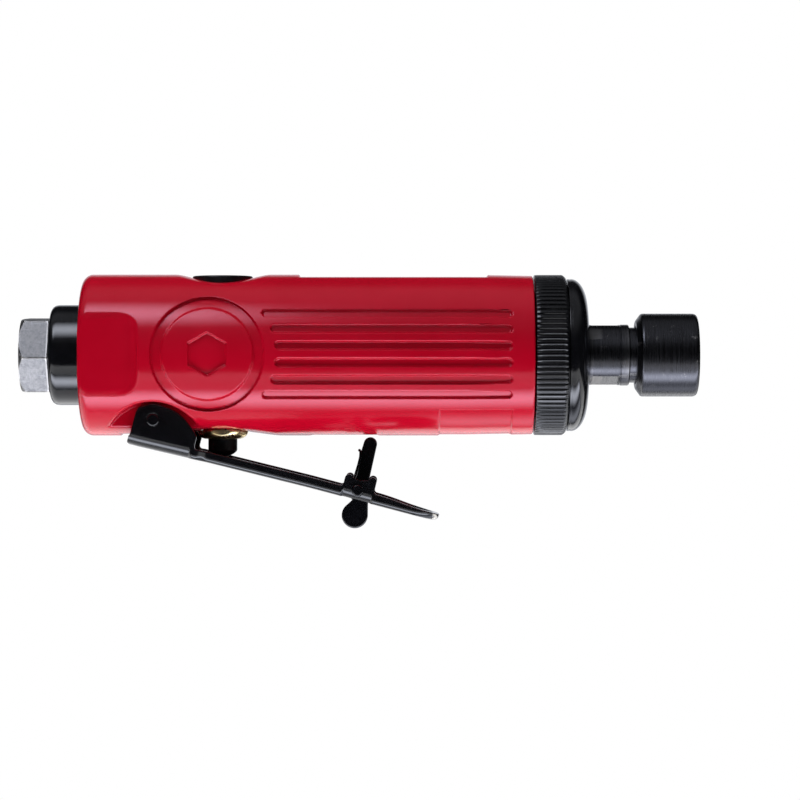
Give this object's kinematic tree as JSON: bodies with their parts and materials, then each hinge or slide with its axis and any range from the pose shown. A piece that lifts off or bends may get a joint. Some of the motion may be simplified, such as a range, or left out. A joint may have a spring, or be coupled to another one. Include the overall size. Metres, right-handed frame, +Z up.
{
  "type": "die grinder",
  "caption": "Straight air die grinder with a ribbed red body, knurled nose ring, collet nut, throttle lever and folding lock-off lever.",
  "frame": {"origin": "centre of the flat seat in the spindle's bore, where the end of an inserted shank stops", "axes": "+X along the spindle towards the collet nut, +Z up through the speed regulator, away from the throttle lever, -Y towards the viewer's side of the picture"},
  "size_m": [0.1652, 0.0394, 0.062],
  "materials": {
    "red_enamel": "glossy crimson enamel on an aluminium housing",
    "black_enamel": "glossy black paint",
    "black_oxide": "black oxide on turned steel",
    "zinc": "dull zinc plate on turned steel",
    "steel": "ground steel",
    "bearing_steel": "polished bearing steel",
    "brass": "turned brass",
    "rubber": "moulded nitrile",
    "black_plastic": "moulded nylon",
    "felt": "pressed felt",
    "composite": "cotton phenolic laminate"
  },
  "bodies": {
    "body": {"housing": "red_enamel", "inlet_bushing": "zinc", "inlet_screen": "steel", "exhaust_deflector": "black_enamel", "muffler_felt": "felt", "grip_ring": "black_enamel", "nose_cap": "black_enamel", "nose_dust_seal": "felt", "front_end_plate": "steel", "rear_end_plate": "steel", "cylinder": "steel", "cylinder_dowel_pin": "steel", "front_bearing_outer_race": "bearing_steel", "rear_bearing_outer_race": "bearing_steel", "wave_washer": "steel", "lever_pivot_pin": "steel", "valve_bushing": "brass", "valve_bushing_o_ring": "rubber", "valve_spring": "steel", "regulator_retaining_ring": "steel"},
    "motor_shaft": {"spindle": "black_oxide", "rotor": "steel", "rotor_blade_1": "composite", "rotor_blade_2": "composite", "rotor_blade_3": "composite", "rotor_blade_4": "composite", "front_bearing_inner_race": "bearing_steel", "rear_bearing_inner_race": "bearing_steel"},
    "front_cage": {"front_bearing_ball_cage": "brass"},
    "rear_cage": {"rear_bearing_ball_cage": "brass"},
    "collet": {"collet": "steel"},
    "nut": {"collet_nut": "black_oxide"},
    "throttle": {"throttle_lever": "black_enamel", "lock_pin": "steel", "lock_spring": "steel"},
    "lock": {"lock_lever": "black_enamel"},
    "valve": {"valve_stem": "black_plastic", "valve_seal": "rubber"},
    "regulator": {"regulator": "black_plastic", "regulator_o_ring": "rubber"}
  },
  "joints": [
    {"name": "spindle_spin", "type": "hinge", "parent": "body", "child": "motor_shaft", "pos_m": [0, 0, 0], "axis": [1, 0, 0], "continuous": true},
    {"name": "front_cage_spin", "type": "hinge", "parent": "body", "child": "front_cage", "pos_m": [-0.0242, 0, 0], "axis": [1, 0, 0], "continuous": true},
    {"name": "rear_cage_spin", "type": "hinge", "parent": "body", "child": "rear_cage", "pos_m": [-0.0715, 0, 0], "axis": [1, 0, 0], "continuous": true},
    {"name": "collet_slide", "type": "slide", "parent": "motor_shaft", "child": "collet", "axis": [1, 0, 0], "range_m": [0, 0.0015]},
    {"name": "collet_nut_turn", "type": "hinge", "parent": "collet", "child": "nut", "pos_m": [0.0167, 0, 0], "axis": [1, 0, 0], "range_deg": [0, 540]},
    {"name": "throttle_press", "type": "hinge", "parent": "body", "child": "throttle", "pos_m": [-0.1082, 0, -0.0158], "axis": [0, -1, 0], "range_deg": [0, 8], "stiffness_Nm_per_rad": 0.8, "springref_deg": -17.19},
    {"name": "lock_fold", "type": "hinge", "parent": "throttle", "child": "lock", "pos_m": [-0.05872, 0, -0.03288], "axis": [0, -1, 0], "range_deg": [0, 80.5], "deforming": ["lock_spring"]},
    {"name": "valve_slide", "type": "slide", "parent": "body", "child": "valve", "axis": [0, 0, 1], "range_m": [0, 0.0025], "deforming": ["valve_spring"]},
    {"name": "regulator_turn", "type": "hinge", "parent": "body", "child": "regulator", "pos_m": [-0.0919, 0, 0.0193], "axis": [0, 0, 1], "range_deg": [0, 90]}
  ],
  "couplings": [
    {"joint": "front_cage_spin", "follows": "spindle_spin", "ratio": 0.38},
    {"joint": "rear_cage_spin", "follows": "spindle_spin", "ratio": 0.375},
    {"joint": "collet_slide", "follows": "collet_nut_turn", "m_per_rad": 0.00015915},
    {"joint": "lock_fold", "follows": "throttle_press", "ratio": 10},
    {"joint": "valve_slide", "follows": "throttle_press", "m_per_rad": 0.0172}
  ]
}
